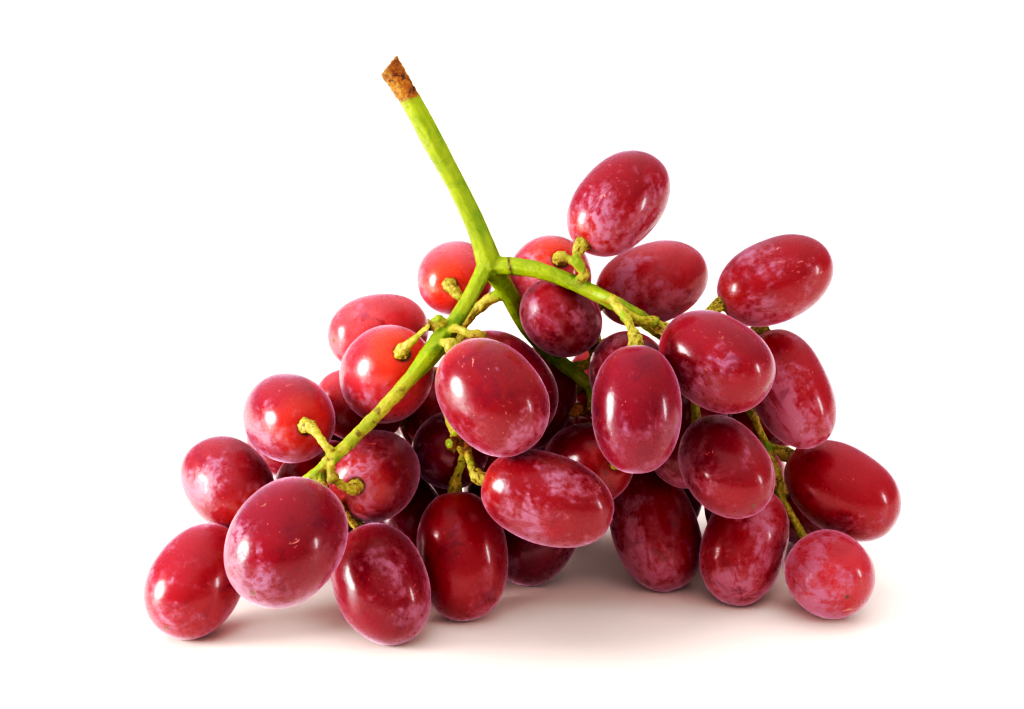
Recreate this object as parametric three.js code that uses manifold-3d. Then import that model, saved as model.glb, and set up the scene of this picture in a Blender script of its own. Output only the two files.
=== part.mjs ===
// A bunch of red table grapes lying on a flat surface: one green stem skeleton (peduncle, rachis, shoulders
// and pedicels, which grow as one piece) and the berries it carries. Millimetres, +Z up, resting on Z = 0.
import * as THREE from "three";
import { mergeVertices } from "three/addons/utils/BufferGeometryUtils.js";
import Module from "manifold-3d";

// ---- driving dimensions, mm ----
const BERRY_DIAMETER = 20; // of a berry whose `wide` is 1
const BERRY_LENGTH = 26.5; // of a berry whose `long` is 1
const SNAP_FACE = [-0.77, 0.1, 0.64]; // the way that the snapped end of the peduncle faces
const SNAP_DEPTH = 1.6; // how far the snapped face lies below the end of the peduncle's course
const SPREAD = 1; // how far the whole arrangement is opened out from the stem's main fork
const PEDUNCLE_RADIUS = 2.1; // of the main stem
const PEDICEL_RADIUS = 0.95; // of the thin stalk of one berry
const RECEPTACLE_RADIUS = 1.9; // of the stalk's swollen end, where the berry sits
const RECEPTACLE_LENGTH = 3.6; // of that swollen end
const BERRY_GAP = 0.4; // between neighbouring berries
const STEM_GAP = 0.3; // between the stem and any berry, its own included
const SEAT_DEPTH = 0.6; // how far a stalk reaches into its berry before it is trimmed to the gap

// ---- shape of one berry ----
const BERRY_SIDES = 12;
const BERRY_RINGS = 6;
const BERRY_FULLNESS = 2.15; // exponent of the outline: 2 is an ellipse, more is fuller
const CORE_BALLS = 7; // balls along a berry's axis that stand for it when berries are pushed apart

// ---- settling and stalk routing ----
const SETTLE_ROUNDS = 500;
const GIVE = new THREE.Vector3(0.25, 1, 0.25); // how readily a berry is pushed along each axis
const ROUTE_ROUNDS = 120;
const ROUTE_POINTS = 8;
const ROUTE_SMOOTHING = 0.35;
const STALK_LEAD = 4; // length over which a stalk leaves its branch and meets its berry square on
const STALK_ROOM = PEDICEL_RADIUS + 2 * STEM_GAP; // between the middle of a stalk and any berry
const RING_STEP = 5; // spacing of the rings that a branch is built from
const BRANCH_STEP = 2.5; // spacing of the balls that keep berries off a branch

const v3 = (p) => new THREE.Vector3(...p);

// ---- the stem skeleton: hand-placed courses, radius at each end as a share of PEDUNCLE_RADIUS ----
// `from` names the branch a course grows out of and how far along that branch it starts.
const BRANCHES = {
  peduncle: {
    course: [
      [-26.7, -2, 122.5], [-21.2, -2, 113.5], [-16, -2, 103.5],
      [-10.6, -1, 93], [-6.4, 0, 83], [-4.6, 0.5, 77],
    ],
    radii: [1.3, 1.08, 1.1, 1.15, 1, 1.04, 1.1, 1.4],
  },
  rachis: {
    from: ["peduncle", 1],
    course: [
      [-1, 4, 71], [3, 9, 62], [9, 11, 54.5], [17, 9, 48.5], [22, 9, 42], [25, 13, 36], [28, 19, 30.5],
    ],
    radii: [1.15, 0.95, 0.85, 0.75, 0.65, 0.55],
  },
  side_shoot: {
    from: ["rachis", 0.12],
    course: [
      [-7.5, 5, 67], [-12, 6.5, 61], [-14.5, 5.5, 54], [-14.5, 0, 48], [-13, -6, 43.5], [-11, -9.5, 41.5],
    ],
    radii: [0.7, 0.55, 0.5, 0.6],
  },
  left_shoulder: {
    from: ["peduncle", 0.97],
    course: [
      [-10, -5, 70], [-16, -9, 62], [-23.5, -14, 54], [-32, -19, 46], [-38.5, -22.5, 40.5], [-42, -24, 37.5],
    ],
    radii: [1.05, 0.86, 0.82, 0.86, 1.2, 1.1, 0.8, 0.72, 0.7, 0.68, 0.72, 0.66, 0.55],
  },
  right_shoulder: {
    from: ["peduncle", 0.99],
    course: [
      [4, -2, 77.5], [12.5, -4, 75], [19.5, -6, 72], [27.5, -6, 67.5], [33, -2, 62.5], [39.5, 8, 56],
      [47, 15, 49], [53.5, 19, 40], [57, 18, 33], [60, 12.5, 26],
    ],
    radii: [1.05, 0.85, 0.82, 0.78, 0.6, 0.5, 0.45, 0.42],
  },
  top_spur: {
    from: ["right_shoulder", 0.2],
    course: [[15.5, -6.5, 77.5], [13.5, -7, 80.5]],
    radii: [0.68, 0.55, 0.6],
  },
  front_spur: {
    from: ["right_shoulder", 0.24],
    course: [[22, -10, 72], [24, -13, 69.5]],
    radii: [0.72, 0.55, 0.58],
  },
  inner_spur: {
    from: ["rachis", 0.52],
    course: [[17.5, 10.5, 53], [19, 14, 56.5]],
    radii: [0.6, 0.45],
  },
  left_back_shoot: {
    from: ["side_shoot", 0.55],
    course: [[-20, 14, 47], [-22.5, 22, 39.5], [-29.5, 27, 31], [-34.5, 29, 24]],
    radii: [0.55, 0.42],
  },
  back_shoot: {
    from: ["rachis", 0.42],
    course: [[16, 20, 47], [16, 29, 42], [11, 35, 36], [5, 36, 30]],
    radii: [0.55, 0.42],
  },
  right_back_shoot: {
    from: ["rachis", 0.97],
    course: [[35, 26, 27.5], [43, 32, 27], [51, 34, 25]],
    radii: [0.5, 0.42],
  },
};

// ---- the berries, by the branch that carries them ----
// at: centre, stalk: direction from the centre to the stem end, wide and long: shares of the berry sizes,
// lies: whether it lies on the surface, by: the points that its stalk passes where that is shaped by hand.
const BERRIES = {
  left_shoulder: [
    { at: [-68, -15, 12], stalk: [0.4, 0.8, 0.5], wide: 1.03, long: 1.04, lies: true },
    { at: [-46.5, -38, 28], stalk: [0.4, 0.8, 0.45], wide: 1.2, long: 1.12 },
    { at: [-63, 3, 27], stalk: [0.55, -0.7, -0.4], wide: 0.97, long: 0.92 },
    {
      at: [-48.5, -2, 43.8], stalk: [0.35, -0.9, 0.15], wide: 0.99, long: 1.02,
      by: [[-39.5, -21.5, 44], [-41, -18.5, 46]],
    },
    { at: [-27.5, -18, 12.5], stalk: [-0.35, 0.6, 0.75], wide: 1.04, long: 1.02, lies: true },
    {
      at: [-29.5, -4, 32], stalk: [-0.25, -0.95, 0.1], wide: 1, long: 0.98,
      by: [[-36, -22, 34.5], [-34, -21, 33.5]],
    },
    {
      at: [-26.5, 4, 52.5], stalk: [0.3, -0.75, 0.6], wide: 1.04, long: 0.94,
      by: [[-15.5, -9.5, 68], [-17, -11, 69.5], [-19, -11, 68.5], [-19.5, -10.5, 65.5]],
    },
    { at: [-3.5, -20.5, 53.5], stalk: [-0.6, 0.45, 0.65], wide: 1.08, long: 1.01 },
  ],
  side_shoot: [
    { at: [-1.5, -1.5, 53], stalk: [-0.65, 0.45, 0.65], wide: 1.06, long: 1 },
    { at: [-12.5, 20, 70], stalk: [-0.1, -1, 0.1], wide: 0.86, long: 0.86 },
    { at: [-15, 8, 32.5], stalk: [0.1, -0.9, 0.4], wide: 0.88, long: 0.86 },
    {
      at: [-12, -5, 14], stalk: [-0.1, 0.35, 0.9], wide: 1.02, long: 1.08, lies: true,
      by: [[-10.5, -7, 36]],
    },
    { at: [7, -24, 34], stalk: [-0.95, 0.2, 0.25], wide: 0.97, long: 1.09, by: [[-9.5, -14, 41]] },
    { at: [-30.5, 28, 54], stalk: [0.8, 0.6, 0], wide: 0.9, long: 0.94 },
  ],
  left_back_shoot: [
    { at: [-34.5, 19, 39.5], stalk: [0.8, 0.3, -0.35], wide: 0.82, long: 0.8 },
    { at: [-41, 15, 26.5], stalk: [0.8, 0.5, 0.3], wide: 0.87, long: 0.82 },
    { at: [-20, 28, 36], stalk: [-0.5, 0.1, 0.85], wide: 0.95, long: 0.86 },
    { at: [-24.5, 12, 18], stalk: [-0.4, 0.75, 0.5], wide: 0.95, long: 0.9 },
    { at: [-54, 27, 11], stalk: [0.75, 0.1, 0.65], wide: 0.98, long: 0.94, lies: true },
    { at: [-42, 33, 11], stalk: [0.3, -0.2, 0.95], wide: 0.98, long: 0.94, lies: true },
    { at: [-21, 36, 11], stalk: [-0.5, -0.2, 0.85], wide: 1, long: 0.98, lies: true },
    { at: [-48, 31, 28], stalk: [0.9, -0.1, 0.3], wide: 0.99, long: 0.96 },
    { at: [-28, 44, 34], stalk: [-0.1, -0.95, 0.3], wide: 0.98, long: 0.96 },
  ],
  back_shoot: [
    { at: [5.5, 17.5, 42.5], stalk: [0.3, 0.75, 0.55], wide: 1.02, long: 0.95 },
    { at: [-1, 43, 11], stalk: [0, -0.4, 0.9], wide: 0.99, long: 0.96, lies: true },
    { at: [-6, 42, 37], stalk: [0.9, -0.35, 0.1], wide: 0.98, long: 0.94 },
    { at: [24, 43, 35], stalk: [-0.75, -0.5, 0.4], wide: 0.96, long: 0.94 },
  ],
  top_spur: [
    { at: [8, 21, 69], stalk: [0.2, -0.8, 0.56], wide: 0.96, long: 1 },
    { at: [23, 4, 90.5], stalk: [-0.6, -0.6, -0.55], wide: 0.95, long: 1.02 },
  ],
  front_spur: [
    { at: [42.5, -12, 59.5], stalk: [-0.8, 0.45, 0.4], wide: 1.02, long: 0.98 },
    { at: [26, -24, 52.5], stalk: [0, 0.4, 0.9], wide: 0.96, long: 1.03 },
  ],
  inner_spur: [
    { at: [31.5, 24, 68], stalk: [-0.9, -0.3, -0.25], wide: 0.94, long: 1 },
    { at: [10, -1, 66.5], stalk: [0.65, 0.35, -0.65], wide: 0.82, long: 0.74 },
    { at: [27, 27, 43], stalk: [-0.4, -0.65, 0.65], wide: 0.94, long: 0.86 },
    { at: [25.5, -2, 54], stalk: [-0.25, 0.85, 0.45], wide: 0.93, long: 0.86 },
  ],
  rachis: [
    { at: [32.5, 13, 13.5], stalk: [-0.3, 0.45, 0.85], wide: 1, long: 1.12, lies: true },
    { at: [16.5, 2, 32.5], stalk: [0.5, -0.8, 0.3], wide: 0.93, long: 0.9 },
    { at: [5.5, 20, 10], stalk: [0.55, 0.45, 0.7], wide: 1, long: 0.94, lies: true },
    { at: [11, 27, 28], stalk: [0.45, -0.6, 0.65], wide: 0.86, long: 0.84 },
  ],
  right_shoulder: [
    { at: [57.5, 8, 72.5], stalk: [-0.9, -0.25, -0.35], wide: 0.94, long: 1.01 },
    { at: [61.5, 8, 47.7], stalk: [-0.4, 0.4, 0.8], wide: 0.92, long: 1.05 },
    { at: [45.5, -8, 36], stalk: [-0.4, 0.8, 0.45], wide: 0.95, long: 0.96 },
    { at: [38.5, 11, 37], stalk: [0, 0.7, 0.7], wide: 0.97, long: 0.9 },
    { at: [73, 11, 23.5], stalk: [-0.8, 0.35, 0.45], wide: 1, long: 1.07 },
    { at: [69, -5, 10], stalk: [-0.25, 0.95, 0.15], wide: 0.96, long: 0.8, lies: true },
    { at: [52.5, 6, 12.5], stalk: [0.3, 0.5, 0.8], wide: 0.98, long: 1.04, lies: true },
    { at: [56, 34, 37], stalk: [-0.2, -0.9, 0.4], wide: 0.96, long: 0.86 },
    { at: [45, 32, 46], stalk: [0, -0.9, 0.2], wide: 0.96, long: 0.86 },
    { at: [68.5, 34, 10], stalk: [-0.7, -0.5, 0.6], wide: 0.9, long: 0.8, lies: true },
  ],
  right_back_shoot: [
    { at: [55.5, 26.5, 14], stalk: [-0.3, 0.35, 0.85], wide: 0.97, long: 0.9 },
    { at: [18, 45, 19], stalk: [0.65, -0.4, 0.6], wide: 0.98, long: 0.94 },
    { at: [35, 46, 11], stalk: [0, -0.4, 0.9], wide: 1, long: 0.98, lies: true },
    { at: [55, 48, 11], stalk: [-0.4, -0.35, 0.85], wide: 1, long: 0.98, lies: true },
    { at: [45, 48, 30], stalk: [0, -0.85, -0.3], wide: 0.97, long: 0.92 },
  ],
};

// ---- stalks whose berry has dropped: the branch and how far along it each starts, and its course ----
const BARE_STALKS = [
  { from: ["left_shoulder", 0.3], course: [[-12, -10.5, 66.5], [-9, -12, 65.5], [-5.5, -12.5, 65]] },
  { from: ["left_shoulder", 0.88], course: [[-38, -25.5, 39.5], [-37, -26, 37]] },
  { from: ["side_shoot", 0.96], course: [[-12, -12, 41.5], [-13.5, -14, 42]] },
  { from: ["front_spur", 0.9], course: [[27.5, -12, 68.5], [31, -11.5, 68]] },
  { from: ["rachis", 0.62], course: [[17, 2, 43.5], [14.5, -1, 46], [13, -2, 44.5]] },
];

// ---- the fork that the arrangement spreads from ----
const FORK = v3(BRANCHES.peduncle.course.at(-1));
const spread = (p) => v3(p).sub(FORK).multiplyScalar(SPREAD).add(FORK);

// ---- branch curves ----
const curves = {};
for (const [name, branch] of Object.entries(BRANCHES)) {
  const points = branch.course.map(spread);
  if (branch.from) points.unshift(curves[branch.from[0]].getPointAt(branch.from[1]));
  curves[name] = new THREE.CatmullRomCurve3(points, false, "centripetal");
}
// The radii of a branch are spaced evenly along it.
function branchRadius(branch, share) {
  const spot = share * (branch.radii.length - 1);
  const i = Math.min(Math.floor(spot), branch.radii.length - 2);
  return PEDUNCLE_RADIUS * THREE.MathUtils.lerp(branch.radii[i], branch.radii[i + 1], spot - i);
}

// Balls along every branch, which keep the berries off it.
const branchBalls = Object.entries(BRANCHES).flatMap(([name, branch]) => {
  const count = Math.ceil(curves[name].getLength() / BRANCH_STEP);
  return Array.from({ length: count + 1 }, (_, i) => ({
    centre: curves[name].getPointAt(i / count),
    radius: branchRadius(branch, i / count) + STEM_GAP,
  }));
});

// ---- berries as placed by hand, before they are settled ----
const berries = Object.entries(BERRIES).flatMap(([branch, list]) =>
  list.map((b, i) => ({
    name: `${branch}_berry_${i + 1}`,
    branch,
    lies: Boolean(b.lies),
    centre: spread(b.at),
    axis: v3(b.stalk).normalize(),
    by: b.by?.map(spread),
    halfWidth: (BERRY_DIAMETER * b.wide) / 2,
    halfLength: Math.max((BERRY_LENGTH * b.long) / 2, (BERRY_DIAMETER * b.wide) / 2 + 0.5),
  })),
);

// ---- berry geometry ----
// Half the outline of a berry, a superellipse [radius, height], stem end last, grown by `extra` all round.
function berryOutline(berry, extra) {
  const soften = (x) => Math.sign(x) * Math.abs(x) ** (2 / BERRY_FULLNESS);
  const outline = Array.from({ length: BERRY_RINGS + 2 }, (_, i) => {
    const turn = (Math.PI * i) / (BERRY_RINGS + 1);
    const radius = (berry.halfWidth + extra) * soften(Math.sin(turn));
    return new THREE.Vector2(radius, -(berry.halfLength + extra) * soften(Math.cos(turn)));
  });
  outline[0].x = 0;
  outline.at(-1).x = 0;
  return outline;
}

// A berry as a lathe about its own axis, turned so that its stem end points along the stalk.
function berryGeometry(berry, extra) {
  const turn = new THREE.Quaternion().setFromUnitVectors(new THREE.Vector3(0, 1, 0), berry.axis);
  return new THREE.LatheGeometry(berryOutline(berry, extra), BERRY_SIDES).applyQuaternion(turn);
}

// Balls inside a berry, along its axis, that together fill it: offset from the centre and radius.
// Its rest is the height of its centre when it lies on the surface.
for (const berry of berries) {
  const reach = berry.halfLength - berry.halfWidth ** 2 / berry.halfLength;
  berry.balls = Array.from({ length: CORE_BALLS }, (_, i) => {
    const offset = reach * ((2 * i) / (CORE_BALLS - 1) - 1);
    const core = new THREE.Vector2(0, offset);
    return { offset, radius: Math.min(...berryOutline(berry, 0).map((p) => p.distanceTo(core))) };
  });
  const geometry = berryGeometry(berry, 0);
  geometry.computeBoundingBox();
  berry.rest = -geometry.boundingBox.min.z;
}
const ballCentre = (berry, ball) => berry.centre.clone().addScaledVector(berry.axis, ball.offset);

// How deep a ball sits in a berry, and the way out of the berry.
function depthIn(berry, point, radius) {
  let deepest = { depth: -Infinity, way: new THREE.Vector3(0, 0, 1) };
  if (point.distanceTo(berry.centre) > berry.halfLength + radius) return deepest;
  for (const ball of berry.balls) {
    const way = point.clone().sub(ballCentre(berry, ball));
    const depth = ball.radius + radius - way.length();
    if (depth > deepest.depth) deepest = { depth, way: way.normalize() };
  }
  return deepest;
}

// Moves a berry so that it clears something by `depth` along `way`, mostly in the directions that give.
function push(berry, way, depth) {
  const step = way.clone().multiply(GIVE);
  berry.centre.addScaledVector(step, depth / step.dot(way));
}

// Pushes the berries out of each other, off the branches and up to the surface they lie on.
function settle() {
  for (let round = 0; round < SETTLE_ROUNDS; round++)
    berries.forEach((one, i) => {
      for (const other of berries.slice(i + 1)) {
        if (one.centre.distanceTo(other.centre) > one.halfLength + other.halfLength + BERRY_GAP) continue;
        for (const ball of other.balls) {
          const { depth, way } = depthIn(one, ballCentre(other, ball), ball.radius + BERRY_GAP);
          if (depth <= 0) continue;
          push(one, way, -depth / 2);
          push(other, way, depth / 2);
        }
      }
      for (const ball of branchBalls) {
        const { depth, way } = depthIn(one, ball.centre, ball.radius);
        if (depth > 0) push(one, way, -depth);
      }
      if (one.lies || one.centre.z < one.rest) one.centre.z = one.rest;
    });
}
settle();

// ---- stalks ----
// Moves the inner points of a route towards a smooth line, by `smoothing`, and out of the berries.
function ease(points, smoothing) {
  for (let round = 0; round < ROUTE_ROUNDS; round++)
    for (let i = 1; i < points.length - 2; i++) {
      const middle = points[i - 1].clone().add(points[i + 1]).multiplyScalar(0.5);
      points[i].lerp(middle, smoothing);
      for (const other of berries) {
        const { depth, way } = depthIn(other, points[i], STALK_ROOM);
        if (depth > 0) points[i].addScaledVector(way, depth);
      }
    }
  return new THREE.CatmullRomCurve3(points, false, "centripetal");
}

// The point of a branch that is nearest to a place.
function nearestOn(curve, place) {
  const spots = Array.from({ length: 101 }, (_, i) => curve.getPointAt(i / 100));
  return spots.reduce((a, b) => (a.distanceTo(place) < b.distanceTo(place) ? a : b));
}

// The course of a berry's stalk: out of its branch, round the other berries, and square onto the stem end.
function stalkCourse(berry) {
  const curve = curves[berry.branch];
  const tip = berry.centre.clone().addScaledVector(berry.axis, berry.halfLength - SEAT_DEPTH);
  const square = tip.clone().addScaledVector(berry.axis, STALK_LEAD);
  const lead = tip.clone().addScaledVector(berry.axis, STALK_LEAD / 2);
  if (berry.by) return ease([nearestOn(curve, berry.by[0]), ...berry.by, lead, tip], 0);
  let best = { cost: Infinity };
  for (let share = 0.12; share <= 1; share += 0.02) {
    const start = curve.getPointAt(share);
    const span = square.clone().sub(start);
    let blocked = 0;
    for (let i = 1; i < ROUTE_POINTS; i++) {
      const at = start.clone().addScaledVector(span, i / ROUTE_POINTS);
      for (const other of berries) blocked += Math.max(0, depthIn(other, at, STALK_ROOM).depth);
    }
    const backwards = Math.max(0, -span.clone().normalize().dot(curve.getTangentAt(share)));
    const cost = span.length() + blocked + 4 * backwards;
    if (cost < best.cost) best = { cost, share, start };
  }
  const way = square.clone().sub(best.start).normalize().add(curve.getTangentAt(best.share)).normalize();
  const leave = best.start.clone().addScaledVector(way, STALK_LEAD / 2);
  const points = new THREE.CubicBezierCurve3(best.start, leave, square, tip).getPoints(ROUTE_POINTS);
  points.splice(ROUTE_POINTS - 1, 1, lead);
  return ease(points, ROUTE_SMOOTHING);
}

// A closed rod along a curve whose radius follows a profile of [share of the length, radius] pairs.
// The straight lathed rod is bent onto the curve ring by ring, without twist.
function rod(curve, profile, sides) {
  const shape = [[0, 0], ...profile, [1, 0]].map(([share, radius]) => new THREE.Vector2(radius, share));
  const lathe = new THREE.LatheGeometry(shape, sides);
  const steps = 64;
  const frames = curve.computeFrenetFrames(steps, false);
  const place = lathe.attributes.position;
  for (let i = 0; i < place.count; i++) {
    const share = THREE.MathUtils.clamp(place.getY(i), 0, 1);
    const at = curve.getPointAt(share);
    const frame = Math.round(share * steps);
    at.addScaledVector(frames.normals[frame], place.getX(i));
    at.addScaledVector(frames.binormals[frame], place.getZ(i));
    place.setXYZ(i, at.x, at.y, at.z);
  }
  return lathe;
}

const wasm = await Module();
wasm.setup();

function toSolid(geometry) {
  const bare = geometry.clone();
  bare.deleteAttribute("normal");
  bare.deleteAttribute("uv");
  const merged = mergeVertices(bare, 1e-4);
  const solid = new wasm.Manifold(
    new wasm.Mesh({
      numProp: 3,
      vertProperties: merged.attributes.position.array,
      triVerts: new Uint32Array(merged.index.array),
    }),
  );
  if (solid.volume() >= 0) return solid;
  const triVerts = new Uint32Array(merged.index.array);
  for (let i = 0; i < triVerts.length; i += 3)
    [triVerts[i + 1], triVerts[i + 2]] = [triVerts[i + 2], triVerts[i + 1]];
  return new wasm.Manifold(
    new wasm.Mesh({ numProp: 3, vertProperties: merged.attributes.position.array, triVerts }),
  );
}

function toGeometry(solid) {
  const mesh = solid.getMesh();
  const geometry = new THREE.BufferGeometry();
  const places = new Float32Array(mesh.numVert * 3);
  for (let i = 0; i < mesh.numVert; i++)
    places.set(mesh.vertProperties.subarray(i * mesh.numProp, i * mesh.numProp + 3), i * 3);
  geometry.setAttribute("position", new THREE.BufferAttribute(places, 3));
  geometry.setIndex(new THREE.BufferAttribute(mesh.triVerts, 1));
  geometry.computeVertexNormals();
  return geometry;
}

// ---- the stem skeleton ----
function branchRod(name) {
  const branch = BRANCHES[name];
  const rings = Math.max(2, Math.round(curves[name].getLength() / RING_STEP));
  const profile = Array.from({ length: rings + 1 }, (_, i) => [i / rings, branchRadius(branch, i / rings)]);
  return rod(curves[name], profile, 8);
}

function stalkRod(berry) {
  const curve = stalkCourse(berry);
  const neck = 1 - RECEPTACLE_LENGTH / curve.getLength();
  const profile = [
    [0, PEDICEL_RADIUS * 1.5], [neck * 0.3, PEDICEL_RADIUS], [neck, PEDICEL_RADIUS * 1.15],
    [(1 + neck) / 2, RECEPTACLE_RADIUS * 0.85], [1, RECEPTACLE_RADIUS],
  ];
  return rod(curve, profile, 6);
}

// A bare stalk ends in a small, shrunken receptacle.
function bareRod({ from: [branch, share], course }) {
  const curve = ease([curves[branch].getPointAt(share), ...course.map(spread)], 0);
  const profile = [
    [0, PEDICEL_RADIUS * 1.4], [0.35, PEDICEL_RADIUS], [0.65, PEDICEL_RADIUS],
    [0.85, RECEPTACLE_RADIUS * 0.8], [1, RECEPTACLE_RADIUS * 0.6],
  ];
  return rod(curve, profile, 6);
}

// The space beyond the slanted face where the peduncle was snapped off.
function snap() {
  const across = 6 * PEDUNCLE_RADIUS;
  const face = v3(SNAP_FACE).normalize();
  const tip = curves.peduncle.getPointAt(0).addScaledVector(face, across / 2 - SNAP_DEPTH);
  const turn = new THREE.Quaternion().setFromUnitVectors(new THREE.Vector3(0, 1, 0), face);
  const beyond = new THREE.BoxGeometry(across, across, across).applyQuaternion(turn);
  return toSolid(beyond.translate(...tip));
}

function stem() {
  const stalks = [...berries.map(stalkRod), ...BARE_STALKS.map(bareRod)];
  const rods = [...Object.keys(BRANCHES).map(branchRod), ...stalks];
  const keepOut = berries.map((berry) => {
    const geometry = berryGeometry(berry, STEM_GAP);
    geometry.translate(...berry.centre);
    return toSolid(geometry);
  });
  const joined = wasm.Manifold.union(rods.map(toSolid));
  return joined.subtract(wasm.Manifold.union([snap(), ...keepOut]));
}

// ---- materials ----
const stemGreen = new THREE.MeshStandardMaterial({ color: 0x9dbb3a, roughness: 0.55, metalness: 0 });
const berryRed = new THREE.MeshStandardMaterial({ color: 0x9c1730, roughness: 0.3, metalness: 0 });

// ---- the bunch ----
const bunch = new THREE.Group();
const stemMesh = new THREE.Mesh(toGeometry(stem()), stemGreen);
stemMesh.name = "stem";
bunch.add(stemMesh);
for (const berry of berries) {
  const mesh = new THREE.Mesh(berryGeometry(berry, 0), berryRed);
  mesh.name = berry.name;
  mesh.position.copy(berry.centre);
  bunch.add(mesh);
}

// The origin is the middle of the bunch's footprint, on the surface that it lies on.
bunch.updateMatrixWorld(true);
const box = new THREE.Box3().setFromObject(bunch, true);
const middle = box.getCenter(new THREE.Vector3());
bunch.children.forEach((mesh) => mesh.position.sub(new THREE.Vector3(middle.x, middle.y, box.min.z)));

export default bunch;
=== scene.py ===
"""The looks of a bunch of red table grapes: smooth berries with a waxy bloom on a green, branching stem."""
import math

import bpy
import numpy as np
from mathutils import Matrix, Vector, noise
from mathutils.bvhtree import BVHTree
from mathutils.kdtree import KDTree


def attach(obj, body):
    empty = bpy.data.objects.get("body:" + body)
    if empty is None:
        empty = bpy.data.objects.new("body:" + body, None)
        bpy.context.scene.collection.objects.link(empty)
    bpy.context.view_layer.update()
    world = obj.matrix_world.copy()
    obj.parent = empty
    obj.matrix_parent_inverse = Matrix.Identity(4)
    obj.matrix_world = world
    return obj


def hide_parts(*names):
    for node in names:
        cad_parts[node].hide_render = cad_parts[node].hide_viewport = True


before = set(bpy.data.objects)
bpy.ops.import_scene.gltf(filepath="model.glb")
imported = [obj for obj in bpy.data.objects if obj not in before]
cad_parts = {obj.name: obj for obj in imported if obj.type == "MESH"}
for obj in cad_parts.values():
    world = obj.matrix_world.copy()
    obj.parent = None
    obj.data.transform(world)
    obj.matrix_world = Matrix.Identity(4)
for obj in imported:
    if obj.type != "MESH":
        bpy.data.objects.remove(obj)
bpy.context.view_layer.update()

MM = 0.001
STEM = "stem"
BERRIES = sorted(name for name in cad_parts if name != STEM)


# ---- small helpers ----
def smoothstep(low, high, x):
    t = np.clip((np.asarray(x, float) - low) / (high - low), 0, 1)
    return t * t * (3 - 2 * t)


def vertices(mesh):
    co = np.zeros(len(mesh.vertices) * 3, np.float32)
    mesh.vertices.foreach_get("co", co)
    return co.reshape(-1, 3).astype(float)


def set_vertices(mesh, points):
    mesh.vertices.foreach_set("co", points.astype(np.float32).ravel())
    mesh.update()


def attribute(mesh, name, values):
    kind = "FLOAT_VECTOR" if np.ndim(values) == 2 else "FLOAT"
    layer = mesh.attributes.new(name, kind, "POINT")
    field_name = "vector" if kind == "FLOAT_VECTOR" else "value"
    layer.data.foreach_set(field_name, np.ravel(values).astype(np.float32))


def field(points, scale, offset):
    """Smooth noise from -1 to 1 at each point, its features about `scale` metres across."""
    shift = Vector((offset, offset * 0.7, -offset))
    return np.array([noise.noise(Vector(p) / scale + shift) for p in points])


def add_piece(name, mesh, nodes, material):
    piece = bpy.data.objects.new(name, mesh)
    bpy.context.scene.collection.objects.link(piece)
    mesh.materials.append(material)
    mesh.polygons.foreach_set("use_smooth", np.ones(len(mesh.polygons), bool))
    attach(piece, "root")
    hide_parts(*nodes)
    return piece


# ---- shader building ----
class Shader:
    """A material's node tree, with one short call per node."""

    def __init__(self, name):
        self.material = bpy.data.materials.new(name)
        self.material.use_nodes = True
        self.tree = self.material.node_tree
        self.tree.nodes.clear()
        self.skin = self.node("ShaderNodeBsdfPrincipled")
        out = self.node("ShaderNodeOutputMaterial")
        self.tree.links.new(self.skin.outputs["BSDF"], out.inputs["Surface"])

    def node(self, kind, **settings):
        made = self.tree.nodes.new(kind)
        for key, value in settings.items():
            setattr(made, key, value)
        return made

    def put(self, socket, value):
        if isinstance(value, bpy.types.NodeSocket):
            self.tree.links.new(value, socket)
        elif isinstance(value, tuple) and socket.type == "RGBA":
            socket.default_value = (*value, 1.0)
        else:
            socket.default_value = value

    def set(self, name, value):
        self.put(self.skin.inputs[name], value)

    def attribute(self, name, output="Fac"):
        return self.node("ShaderNodeAttribute", attribute_name=name).outputs[output]

    def math(self, operation, a, b):
        made = self.node("ShaderNodeMath", operation=operation)
        self.put(made.inputs[0], a)
        self.put(made.inputs[1], b)
        return made.outputs[0]

    def range(self, value, low, high, start=0.0, end=1.0, smooth=True):
        kind = "SMOOTHSTEP" if smooth else "LINEAR"
        made = self.node("ShaderNodeMapRange", interpolation_type=kind, clamp=True)
        for socket, v in zip(made.inputs, (value, low, high, start, end)):
            self.put(socket, v)
        return made.outputs[0]

    def mix(self, factor, a, b):
        made = self.node("ShaderNodeMix", data_type="RGBA")
        self.put(made.inputs["Factor"], factor)
        colours = [s for s in made.inputs if s.type == "RGBA"]
        self.put(colours[0], a)
        self.put(colours[1], b)
        return next(s for s in made.outputs if s.type == "RGBA")

    def noise(self, where, scale, detail=2.0, roughness=0.5, distortion=0.0):
        made = self.node("ShaderNodeTexNoise")
        for name, value in (("Vector", where), ("Scale", scale), ("Detail", detail),
                            ("Roughness", roughness), ("Distortion", distortion)):
            self.put(made.inputs[name], value)
        return made.outputs["Fac"]

    def cells(self, where, scale):
        made = self.node("ShaderNodeTexVoronoi")
        self.put(made.inputs["Vector"], where)
        self.put(made.inputs["Scale"], scale)
        return made.outputs["Distance"]

    def stretch(self, where, scale):
        made = self.node("ShaderNodeMapping")
        self.put(made.inputs["Vector"], where)
        made.inputs["Scale"].default_value = scale
        return made.outputs["Vector"]

    def bump(self, height, strength, distance):
        made = self.node("ShaderNodeBump")
        self.put(made.inputs["Strength"], strength)
        self.put(made.inputs["Distance"], distance)
        self.put(made.inputs["Height"], height)
        return made.outputs["Normal"]


# ---- berry skin ----
CRIMSON = (0.120, 0.0005, 0.008)
RUBY = (0.20, 0.0009, 0.010)
MAROON = (0.095, 0.0016, 0.020)
PAINTED_GLOW_ROSE = (0.70, 0.095, 0.105)
WAX = (0.42, 0.19, 0.26)
WAX_DARK_AND_SHADED = (0.30, 0.14, 0.22)
PAINTED_GLOW_AMBER = (0.60, 0.045, 0.006)
SCAR_BROWN = (0.10, 0.045, 0.02)
SPECK = (0.75, 0.32, 0.24)


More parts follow.
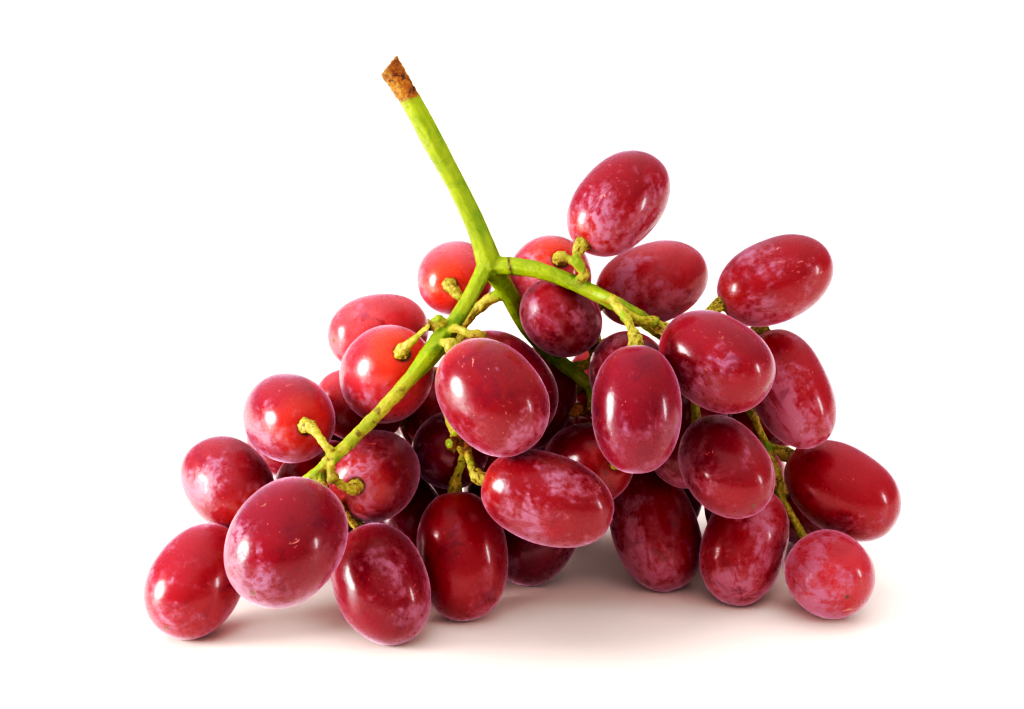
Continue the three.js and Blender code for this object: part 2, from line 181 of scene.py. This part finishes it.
def berry_skin():
    """Local coordinates are in millimetres, with a different shift for each berry."""
    s = Shader("berry_skin")
    local = s.attribute("local", "Vector")
    along = s.attribute("along")
    tone_and_painted_light = s.attribute("tone_and_painted_light")
    painted_glow = s.attribute("painted_glow")
    dusk_and_painted_shade = s.attribute("dusk_and_painted_shade")
    wax = s.attribute("wax")
    under = s.attribute("under")
    # Flesh colour under the skin: red, darker in clouds, darker and brighter per berry, partly its own colour
    # and partly painted shade and painted light, and a painted glow of light shining through in the paler
    # berries and near the stalk.
    cloud = s.noise(local, 0.10, 3.0, 0.55)
    fine = s.noise(local, 0.6, 4.0, 0.62)
    # Brighter red per berry: partly its own colour, partly painted light on berries that stand in shade.
    mixed = s.math("ADD", s.math("MULTIPLY", tone_and_painted_light, 0.35), cloud)
    red = s.mix(s.range(mixed, 0.42, 0.85), CRIMSON, RUBY)
    # Darker per berry: partly its own colour, partly painted shade.
    red = s.mix(s.math("MULTIPLY", dusk_and_painted_shade, s.range(cloud, 0.25, 0.75, 1.0, 0.55)), red, MAROON)
    # Painted glow: paler red where light shines through the berry.
    red = s.mix(s.math("MULTIPLY", painted_glow, s.range(cloud, 0.3, 0.7, 0.95, 0.45)), red, PAINTED_GLOW_ROSE)
    # Painted glow: amber near the stalk, where light shines through.
    lit = s.math("MULTIPLY", s.range(along, 0.60, 1.0), s.range(dusk_and_painted_shade, 0.0, 0.5, 1.0, 0.1))
    lit = s.math("MULTIPLY", lit, s.range(painted_glow, 0.0, 0.5, 0.30, 0.85))
    red = s.mix(lit, red, PAINTED_GLOW_AMBER)
    # The waxy bloom: broad patches, finely broken up, rubbed off in streaks, and thicker towards the lower
    # left, where it is partly a painted sheen.
    patch = s.noise(local, 0.075, 4.0, 0.62, 0.8)
    rub = s.noise(s.stretch(local, (0.9, 0.9, 0.2)), 0.33, 4.0, 0.65, 1.2)
    amount = s.math("ADD", patch, s.math("MULTIPLY", s.math("SUBTRACT", fine, 0.5), 0.50))
    amount = s.math("ADD", amount, s.math("MULTIPLY", s.math("SUBTRACT", wax, 0.5), 0.22))
    # Painted sheen: more bloom towards one side of each berry.
    amount = s.math("ADD", amount, s.math("MULTIPLY", under, 0.10))
    bloom = s.range(amount, 0.50, 0.71)
    bloom = s.math("MULTIPLY", bloom, s.range(rub, 0.38, 0.52, 0.25, 1.0))
    wax_colour = s.mix(dusk_and_painted_shade, WAX, WAX_DARK_AND_SHADED)
    colour = s.mix(s.math("MULTIPLY", bloom, 0.62), red, wax_colour)
    # Purple mottles, pale specks and dark freckles.
    mottle = s.range(s.noise(local, 0.16, 5.0, 0.68, 0.8), 0.55, 0.64)
    mottle = s.math("MULTIPLY", mottle, s.range(s.noise(local, 0.07, 1.0), 0.42, 0.6, 0.0, 0.45))
    colour = s.mix(mottle, colour, MAROON)
    dots = s.range(s.cells(local, 0.62), 0.05, 0.10, 1.0, 0.0)
    dots = s.math("MULTIPLY", dots, s.range(s.noise(local, 0.25, 2.0), 0.42, 0.56, 0.0, 0.6))
    colour = s.mix(dots, colour, SPECK)
    # Thin scuffs.
    scuff = s.noise(s.stretch(local, (0.22, 1.5, 0.5)), 0.8, 3.0, 0.6, 2.0)
    scuffed = s.range(s.noise(local, 0.12, 1.0), 0.5, 0.62, 0.0, 0.5)
    scuff = s.math("MULTIPLY", s.range(scuff, 0.66, 0.70), scuffed)
    colour = s.mix(scuff, colour, SPECK)
    # The corky ring under the stalk and the dot at the blossom end.
    ring = s.range(along, 0.975, 0.992)
    blossom = s.range(along, -0.9972, -0.9988)
    colour = s.mix(s.math("MAXIMUM", ring, blossom), colour, SCAR_BROWN)
    s.set("Base Color", colour)
    rough = s.range(bloom, 0.0, 1.0, 0.29, 0.48, smooth=False)
    s.set("Roughness", s.math("ADD", rough, s.math("MULTIPLY", s.math("SUBTRACT", fine, 0.5), 0.30)))
    s.set("IOR", 1.38)
    s.set("Subsurface Weight", 0.35)
    s.set("Subsurface Radius", Vector((1.0, 0.10, 0.06)))
    s.set("Subsurface Scale", 3.5 * MM)
    dulled = s.math("ADD", bloom, s.math("SUBTRACT", fine, 0.5))
    s.set("Coat Weight", s.range(dulled, 0.0, 0.8, 0.45, 0.05, smooth=False))
    s.set("Coat Roughness", 0.14)
    s.set("Sheen Weight", 0.75)
    s.set("Sheen Roughness", 0.32)
    s.set("Sheen Tint", (0.92, 0.54, 0.76))
    dents = s.math("ADD", s.math("MULTIPLY", fine, 0.55), s.math("MULTIPLY", bloom, 0.25))
    dents = s.math("ADD", dents, s.math("MULTIPLY", dots, 0.3))
    grain = s.noise(local, 1.9, 3.0, 0.6)
    dents = s.math("ADD", dents, s.math("MULTIPLY", grain, s.range(bloom, 0.0, 1.0, 0.35, 0.9)))
    s.set("Normal", s.bump(dents, 0.6, 0.12 * MM))
    return s.material


# ---- stem skin ----
GREEN = (0.115, 0.185, 0.002)
LIME = (0.27, 0.34, 0.010)
OLIVE = (0.28, 0.21, 0.016)
STRAW = (0.50, 0.38, 0.085)
CORK = (0.085, 0.040, 0.008)
DRY = (0.27, 0.10, 0.012)
DRY_LIGHT = (0.50, 0.25, 0.05)
CHAR = (0.045, 0.016, 0.006)


def stem_skin():
    """Local coordinates are in millimetres. Lines are the same ones drawn out along the stem."""
    s = Shader("stem_skin")
    local = s.attribute("local", "Vector")
    lines = s.attribute("lines", "Vector")
    girth = s.attribute("girth")
    near = s.attribute("near")
    dry = s.attribute("dry")
    scar = s.attribute("scar")
    crease_shade = s.attribute("crease_shade")
    broad = s.noise(local, 0.17, 3.0, 0.55)
    fine = s.noise(local, 1.5, 4.0, 0.68)
    fibre = s.noise(lines, 0.9, 4.0, 0.6)
    shade = s.math("ADD", s.math("MULTIPLY", broad, 0.75), s.math("MULTIPLY", fibre, 0.55))
    green = s.mix(s.range(shade, 0.38, 0.90), GREEN, LIME)
    thin = s.range(girth, 1.15, 1.75, 1.0, 0.0)
    tan = s.mix(s.range(fine, 0.38, 0.62), OLIVE, STRAW)
    green = s.mix(s.math("MULTIPLY", thin, s.range(broad, 0.3, 0.62, 0.35, 0.95)), green, tan)
    green = s.mix(s.math("MULTIPLY", near, 0.75), green, tan)
    # Brown flecks on the branches, blotches on the stalks, and painted shade in the crevices of the
    # receptacles.
    worn = s.math("MAXIMUM", thin, near)
    blotch = s.range(s.noise(local, 0.62, 4.0, 0.72, 0.6), 0.54, 0.64)
    green = s.mix(s.math("MULTIPLY", blotch, s.range(worn, 0.0, 1.0, 0.10, 0.9)), green, CORK)
    pores = s.range(s.cells(local, 0.8), 0.08, 0.17, 1.0, 0.0)
    pores = s.math("MULTIPLY", pores, s.range(s.noise(local, 0.35, 1.0), 0.48, 0.62, 0.0, 0.75))
    green = s.mix(pores, green, CORK)
    # Painted shade: darker in the crevices between the warts near the berries.
    green = s.mix(s.math("MULTIPLY", near, s.range(crease_shade, 0.0, 0.16, 0.8, 0.0)), green, CORK)
    green = s.mix(s.math("MULTIPLY", scar, s.range(fine, 0.35, 0.6, 0.5, 1.0)), green, CORK)
    bark = s.mix(s.range(fibre, 0.40, 0.54), CHAR, DRY)
    bark = s.mix(s.range(fine, 0.50, 0.70, 0.0, 0.7), bark, DRY_LIGHT)
    edge = s.math("ADD", dry, s.math("MULTIPLY", s.math("SUBTRACT", fibre, 0.5), 0.9))
    colour = s.mix(s.range(edge, 0.36, 0.56), green, bark)
    s.set("Base Color", colour)
    s.set("Roughness", s.range(s.math("MAXIMUM", dry, worn), 0.0, 1.0, 0.40, 0.70))
    s.set("IOR", 1.45)
    s.set("Subsurface Weight", 0.22)
    s.set("Subsurface Radius", Vector((0.6, 1.0, 0.10)))
    s.set("Subsurface Scale", 1.2 * MM)
    s.set("Coat Weight", 0.10)
    s.set("Coat Roughness", 0.25)
    height = s.math("ADD", s.math("MULTIPLY", fine, 0.5), s.math("MULTIPLY", fibre, 0.6))
    s.set("Normal", s.bump(height, 0.7, 0.40 * MM))
    return s.material


# ---- where each berry is ----
stem_points = vertices(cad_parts[STEM].data)
stem_tree = KDTree(len(stem_points))
for i, point in enumerate(stem_points):
    stem_tree.insert(point, i)
stem_tree.balance()


class Berry:
    """The centre, stalk direction and half sizes of a CAD berry, read from its vertices."""

    def __init__(self, name):
        self.name = name
        points = vertices(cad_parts[name].data)
        self.centre = (points.min(0) + points.max(0)) / 2
        for _ in range(3):
            offset = points - self.centre
            values, vectors = np.linalg.eigh(offset.T @ offset)
            axis = vectors[:, 2]
            heights = offset @ axis
            self.centre = self.centre + axis * (heights.max() + heights.min()) / 2
        self.length = (heights.max() - heights.min()) / 2
        self.width = np.linalg.norm(offset - np.outer(heights, axis), axis=1).max()
        ends = [self.centre + side * axis * self.length for side in (1, -1)]
        gaps = [stem_tree.find(end)[2] for end in ends]
        self.axis = axis if gaps[0] < gaps[1] else -axis
        self.pole = self.centre + self.axis * self.length


berries = [Berry(name) for name in BERRIES]

# ---- berry meshes ----
SEGMENTS = 56
RINGS = 36
FULLNESS = 2.15  # exponent of the outline: 2 is an ellipse, more is fuller
DIMPLE = 0.55 * MM  # the hollow round the stalk
DIMPLE_RADIUS = 1.9 * MM
NUB = 0.25 * MM  # the low rise at the blossom end, and the pit in it
NUB_RADIUS = 1.6 * MM
PIT = 0.2 * MM
PIT_RADIUS = 0.5 * MM
LUMP = 0.22 * MM  # how far a berry departs from its smooth outline, over LUMP_SIZE
LUMP_SIZE = 9 * MM
LOWEST = 0.02 * MM  # of a berry, above the surface it lies on
# Berries that differ from the rest: how dark, bright, waxy or lit through each is, from 0. Dark and bright
# are partly each berry's own colour and partly painted shade and painted light, and lit through is a painted
# glow.
DUSKY_AND_PAINTED_SHADE = {
    "side_shoot_berry_3": 1.0,
    "left_back_shoot_berry_4": 0.8,
    "rachis_berry_3": 0.7,
    "side_shoot_berry_4": 0.1,
    "rachis_berry_1": 0.15,
    "right_shoulder_berry_3": 0.3,
    "inner_spur_berry_2": 0.25,
    "front_spur_berry_2": 0.8,
    "front_spur_berry_1": 0.35,
    "left_shoulder_berry_2": 0.45,
    "left_shoulder_berry_3": 0.2,
    "left_shoulder_berry_5": 0.4,
}
# Brightness per berry: partly its own colour, partly painted light.
BRIGHT_AND_PAINTED_LIGHT = {
    "right_shoulder_berry_6": 1.6,
    "left_shoulder_berry_1": 1.2,
    "rachis_berry_1": 1.1,
    "side_shoot_berry_4": 1.0,
    "right_shoulder_berry_5": 1.0,
    "right_shoulder_berry_7": 0.9,
}
WAXY = {
    "right_shoulder_berry_6": 0.75,
    "rachis_berry_1": 0.95,
    "right_shoulder_berry_7": 0.8,
    "inner_spur_berry_1": 0.8,
    "inner_spur_berry_2": 0.85,
    "top_spur_berry_2": 0.75,
    "left_shoulder_berry_5": 0.6,
    "left_shoulder_berry_2": 0.55,
    "front_spur_berry_2": 0.25,
    "front_spur_berry_1": 0.3,
    "right_shoulder_berry_5": 0.15,
}
# Painted glow of light shining through, per berry.
PAINTED_GLOW_BERRIES = {
    "side_shoot_berry_6": 0.95,
    "side_shoot_berry_2": 0.75,
    "left_shoulder_berry_7": 0.45,
    "left_shoulder_berry_4": 0.20,
    "left_shoulder_berry_3": 0.20,
    "left_shoulder_berry_1": 0.15,
    "right_shoulder_berry_6": 0.35,
    "inner_spur_berry_1": 0.35,
    "top_spur_berry_1": 0.50,
    "left_back_shoot_berry_1": 0.50,
    "left_back_shoot_berry_3": 0.40,
}
BLOOM_AND_SHEEN_SIDE = (-0.55, -0.15, -0.82)  # the side towards which the bloom is thicker, partly a painted sheen on that side


def ring_grid():
    """Quads of a globe with one vertex at each end."""
    faces = []
    last = 1 + (RINGS - 1) * SEGMENTS
    for j in range(SEGMENTS):
        k = (j + 1) % SEGMENTS
        faces.append((0, 1 + k, 1 + j))
        for i in range(RINGS - 2):
            row = 1 + i * SEGMENTS
            faces.append((row + j, row + k, row + SEGMENTS + k, row + SEGMENTS + j))
        row = 1 + (RINGS - 2) * SEGMENTS
        faces.append((row + j, row + k, last))
    return faces


GLOBE = ring_grid()


def frame_of(axis):
    side = np.cross(axis, (0.0, 0.0, 1.0) if abs(axis[2]) < 0.9 else (1.0, 0.0, 0.0))
    side /= np.linalg.norm(side)
    return np.array([side, np.cross(axis, side), axis])


def berry_mesh(berry, draw):
    turn = np.concatenate([[0.0], np.repeat(np.pi * np.arange(1, RINGS) / RINGS, SEGMENTS), [np.pi]])
    round_ = np.concatenate([[0.0], np.tile(2 * np.pi * np.arange(SEGMENTS) / SEGMENTS, RINGS - 1), [0.0]])
    soft = lambda x: np.sign(x) * np.abs(x) ** (2 / FULLNESS)
    across, up = soft(np.sin(turn)), -soft(np.cos(turn))
    taper, bend, squeeze = draw.uniform(-0.05, 0.03), draw.uniform(0.0, 0.5) * MM, draw.uniform(-0.02, 0.02)
    heading = draw.uniform(0, 2 * np.pi)
    radius = berry.width * across * (1 + taper * up)
    x = radius * np.cos(round_) * (1 + squeeze) + bend * math.cos(heading) * (up * up - 0.4)
    y = radius * np.sin(round_) * (1 - squeeze) + bend * math.sin(heading) * (up * up - 0.4)
    z = berry.length * up
    stem_end = up > 0
    z = z - stem_end * DIMPLE * np.exp(-(radius / DIMPLE_RADIUS) ** 2)
    nub = NUB * np.exp(-(radius / NUB_RADIUS) ** 2) - PIT * np.exp(-(radius / PIT_RADIUS) ** 2)
    z = z + ~stem_end * nub
    points = np.stack([x, y, z], 1)
    outward = points / np.linalg.norm(points, axis=1)[:, None]
    seed = draw.uniform(0, 100)
    points = points + outward * (LUMP * field(points, LUMP_SIZE, seed))[:, None]
    world = berry.centre + points @ frame_of(berry.axis)
    world[:, 2] = np.maximum(world[:, 2], LOWEST)
    mesh = bpy.data.meshes.new(berry.name + "_look")
    mesh.from_pydata(world.tolist(), [], GLOBE)
    count = len(world)
    attribute(mesh, "local", points / MM + draw.uniform(-500, 500, 3))
    attribute(mesh, "along", up)
    # Per-berry tone and darkness carry painted light and painted shade as well as each berry's own colour.
    attribute(mesh, "tone_and_painted_light", np.full(count, BRIGHT_AND_PAINTED_LIGHT.get(berry.name, draw.uniform(0, 0.8))))
    attribute(mesh, "painted_glow", np.full(count, PAINTED_GLOW_BERRIES.get(berry.name, draw.uniform(0, 0.12))))
    attribute(mesh, "dusk_and_painted_shade", np.full(count, DUSKY_AND_PAINTED_SHADE.get(berry.name, draw.uniform(0, 0.25))))
    attribute(mesh, "wax", np.full(count, WAXY.get(berry.name, draw.uniform(0.2, 0.75))))
    # Which way each point faces the painted sheen side.
    attribute(mesh, "under", outward @ frame_of(berry.axis) @ BLOOM_AND_SHEEN_SIDE)
    return mesh


skin = berry_skin()
for number, berry in enumerate(berries):
    mesh = berry_mesh(berry, np.random.RandomState(1000 + number))
    add_piece(berry.name + "_look", mesh, [berry.name], skin)

# ---- the stem ----
STEM_VOXEL = 0.3 * MM
SEAT = 1.0 * MM  # how far a receptacle reaches into its berry's dimple
DRY_TIP = 9.5 * MM  # length of the snapped end that has dried at all, and that has dried through
DRIED_THROUGH = 5.0 * MM
# Relief of the stem in mm: warts on receptacles, knobs on stalks, ridges along it, and the torn, dry end.
WARTS, KNOBS, RIDGES, TORN = 0.55, 0.30, 0.10, 0.30
# The stalks that have lost their berries: the place of each end in mm, and how dry it is from 0 to 1.
BARE_ENDS = [
    ((-9.6, -18.0, 65.0), 0.45),
    ((-41.1, -31.5, 37.0), 0.45),
    ((-17.6, -19.5, 42.0), 0.75),
    ((26.9, -17.0, 68.0), 0.35),
    ((8.9, -7.5, 44.5), 1.0),
]
DRIED = 6.5  # mm that the dryness reaches up from such an end
# Old scars round the stem, in mm: a place on each and the stem's direction there.
SCARS = [((-4.8, -7.0, 79.0), (1, 0, 0.25)), ((-12.0, -8.5, 68.0), (0.6, 0.4, 0.8))]


def remeshed(node, voxel):
    """A copy of a CAD node's mesh, remeshed evenly."""
    copy = bpy.data.objects.new("remesh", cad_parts[node].data.copy())
    bpy.context.scene.collection.objects.link(copy)
    modifier = copy.modifiers.new("remesh", "REMESH")
    modifier.mode = "VOXEL"
    modifier.voxel_size = voxel
    made = bpy.data.meshes.new_from_object(copy.evaluated_get(bpy.context.evaluated_depsgraph_get()))
    made.materials.clear()
    bpy.data.objects.remove(copy)
    return made


def neighbours(mesh):
    edges = np.zeros(len(mesh.edges) * 2, np.int32)
    mesh.edges.foreach_get("vertices", edges)
    edges = edges.reshape(-1, 2)
    a = np.concatenate([edges[:, 0], edges[:, 1]])
    b = np.concatenate([edges[:, 1], edges[:, 0]])
    return a, b, np.bincount(a, minlength=len(mesh.vertices)).astype(float)


def averaged(values, links):
    a, b, count = links
    columns = [np.bincount(a, weights=v[b], minlength=len(count)) / count for v in np.atleast_2d(values.T)]
    return np.array(columns).T if values.ndim == 2 else columns[0]


def relaxed(values, links, rounds, keep=True):
    """Smooths values over the mesh. With keep, each round also undoes the shrinking."""
    for _ in range(rounds):
        values = values + 0.55 * (averaged(values, links) - values)
        if keep:
            values = values - 0.57 * (averaged(values, links) - values)
    return values


def vertex_normals(mesh):
    normals = np.zeros(len(mesh.vertices) * 3, np.float32)
    mesh.vertex_normals.foreach_get("vector", normals)
    return normals.reshape(-1, 3).astype(float)


def build_stem():
    mesh = remeshed(STEM, STEM_VOXEL)
    links = neighbours(mesh)
    points = relaxed(vertices(mesh), links, 10)
    set_vertices(mesh, points)
    normals = vertex_normals(mesh)
    # Local thickness, by a ray through the body.
    tree = BVHTree.FromPolygons([tuple(p) for p in points], [tuple(f.vertices) for f in mesh.polygons])
    girth = np.full(len(points), 2.0)
    for i, (p, n) in enumerate(zip(points, normals)):
        hit = tree.ray_cast(Vector(p - n * 0.05 * MM), Vector(-n))
        if hit[3] is not None:
            girth[i] = min(hit[3] / MM, 8.0)
    girth = relaxed(girth, links, 12, keep=False)
    # Nearness to the berries' stem ends.
    poles = KDTree(len(berries))
    for i, berry in enumerate(berries):
        poles.insert(berry.pole, i)
    poles.balance()
    found = [poles.find(p) for p in points]
    distance = np.array([f[2] for f in found]) / MM
    axes = np.array([berries[f[1]].axis for f in found])
    ends = np.array([berries[f[1]].pole for f in found])
    near = smoothstep(4.6, 2.2, distance)
    height = ((points - ends) * axes).sum(1)
    seat = smoothstep(2.4 * MM, 0.5 * MM, height) * smoothstep(3.4, 2.6, distance)
    # The snapped, dried end of the main stem.
    top = points[points[:, 2].argmax()]
    tip = points[np.linalg.norm(points - top, axis=1) < 5 * MM].mean(0)
    dry = smoothstep(DRY_TIP, DRIED_THROUGH, np.linalg.norm(points - tip, axis=1))
    thin = smoothstep(3.6, 2.4, girth)
    slender = smoothstep(5.0, 3.4, girth) * (1 - near)
    for end, dryness in BARE_ENDS:
        reach = np.linalg.norm(points / MM - end, axis=1)
        dry = np.maximum(dry, dryness * smoothstep(DRIED, 0.5 * DRIED, reach) * slender)
    # Directions along the stem are those in which its normals don't change.
    spread = relaxed((normals[:, :, None] * normals[:, None, :]).reshape(-1, 9), links, 40, keep=False)
    way = np.linalg.eigh(spread.reshape(-1, 3, 3))[1][:, :, 0]
    lines = (points - 0.88 * (points * way).sum(1)[:, None] * way) / MM
    ridges = np.array([noise.noise(Vector(p) * 1.1) for p in lines])
    relief = np.abs(field(points, 0.8 * MM, 3.0))
    warts = relief * near
    knobs = field(points, 1.9 * MM, 9.0) * np.maximum(thin, near)
    torn = field(points, 0.9 * MM, 21.0) * dry
    swell = WARTS * warts + KNOBS * knobs + RIDGES * ridges + TORN * torn
    points = points + normals * MM * swell[:, None]
    points = points - axes * (SEAT * seat)[:, None]
    set_vertices(mesh, points)
    scar = np.zeros(len(points))
    for place, across in SCARS:
        offset = points / MM - place
        band = smoothstep(0.45, 0.2, np.abs(offset @ (np.array(across) / np.linalg.norm(across))))
        scar = np.maximum(scar, band * smoothstep(4.2, 3.2, np.linalg.norm(offset, axis=1)))
    attribute(mesh, "local", points / MM)
    attribute(mesh, "lines", lines)
    attribute(mesh, "girth", girth / 2)
    attribute(mesh, "near", near)
    attribute(mesh, "dry", dry)
    attribute(mesh, "scar", scar)
    attribute(mesh, "crease_shade", relief)
    return mesh


add_piece("stem_look", build_stem(), [STEM], stem_skin())

# ---- floor, light and camera ----
ELEVATION = math.radians(15)
DISTANCE = 0.55
WIDTH_SEEN = 222.208 * MM
SENSOR = 36.0
AIM = Vector((-0.00413, -0.00554, 0.0578))
REACH = 4.0  # of the floor, each way
LIT_PLACE = (0, 0, 0.05)


def aim(obj, target):
    obj.rotation_euler = (Vector(target) - obj.location).to_track_quat("-Z", "Y").to_euler()


def floor():
    shader = Shader("floor")
    grain = shader.noise(shader.node("ShaderNodeTexCoord").outputs["Object"], 6.0, 2.0)
    shader.set("Base Color", shader.mix(grain, (0.94, 0.80, 0.73), (0.96, 0.84, 0.77)))
    shader.set("Roughness", 0.45)
    mesh = bpy.data.meshes.new("floor")
    corners = [(-REACH, -REACH, 0), (REACH, -REACH, 0), (REACH, REACH, 0), (-REACH, REACH, 0)]
    mesh.from_pydata(corners, [], [(0, 1, 2, 3)])
    mesh.materials.append(shader.material)
    made = bpy.data.objects.new("floor", mesh)
    bpy.context.scene.collection.objects.link(made)


def area_light(name, place, size, power, colour=(1, 1, 1)):
    light = bpy.data.lights.new(name, "AREA")
    light.shape = "ELLIPSE"
    light.size, light.size_y = size
    light.energy = power
    light.color = colour
    made = bpy.data.objects.new(name, light)
    made.location = place
    aim(made, LIT_PLACE)
    bpy.context.scene.collection.objects.link(made)


def sun(name, way, spread, strength):
    """A soft light from far away, not mirrored. `way` points at it, and it is `spread` degrees across."""
    light = bpy.data.lights.new(name, "SUN")
    light.angle = math.radians(spread)
    light.energy = strength
    made = bpy.data.objects.new(name, light)
    made.rotation_euler = Vector(way).to_track_quat("Z", "Y").to_euler()
    made.visible_glossy = False
    bpy.context.scene.collection.objects.link(made)


floor()
area_light("key", (-0.52, -0.14, 0.15), (0.23, 0.27), 4.8, (1.0, 0.985, 0.97))
area_light("glint", (0.55, -0.16, 0.14), (0.03, 0.18), 0.5)
sun("top", (-0.08, 0.28, 0.95), 75, 1.8)
sun("fill", (0.10, -0.90, 0.35), 80, 1.7)

# The studio: dim walls under a brighter ceiling.
world = bpy.data.worlds.new("world")
world.use_nodes = True
links, nodes = world.node_tree.links, world.node_tree.nodes
parts = nodes.new("ShaderNodeSeparateXYZ")
ceiling = nodes.new("ShaderNodeMapRange")
ceiling.interpolation_type = "SMOOTHERSTEP"
for socket, value in zip(ceiling.inputs[1:5], (0.1, 1.0, 0.22, 0.90)):
    socket.default_value = value
links.new(nodes.new("ShaderNodeTexCoord").outputs["Generated"], parts.inputs[0])
links.new(parts.outputs["Z"], ceiling.inputs["Value"])
links.new(ceiling.outputs[0], nodes["Background"].inputs["Strength"])
nodes["Background"].inputs["Color"].default_value = (1.0, 0.99, 0.98, 1.0)
scene = bpy.context.scene
scene.world = world
scene.view_settings.view_transform = "Standard"
# The picture's contrast: deeper shadows and a white floor.
scene.view_settings.use_curve_mapping = True
levels = scene.view_settings.curve_mapping
levels.black_level = (0.010, 0.010, 0.010)
levels.white_level = (0.80, 0.80, 0.80)
for place in ((0.10, 0.045), (0.40, 0.42)):
    levels.curves[3].points.new(*place)
levels.update()

camera = bpy.data.cameras.new("camera")
camera.sensor_width = SENSOR
camera.lens = SENSOR * DISTANCE / WIDTH_SEEN
camera.clip_start = 0.01
eye = bpy.data.objects.new("camera", camera)
eye.location = AIM + DISTANCE * Vector((0, -math.cos(ELEVATION), math.sin(ELEVATION)))
aim(eye, AIM)
scene.collection.objects.link(eye)
scene.camera = eye
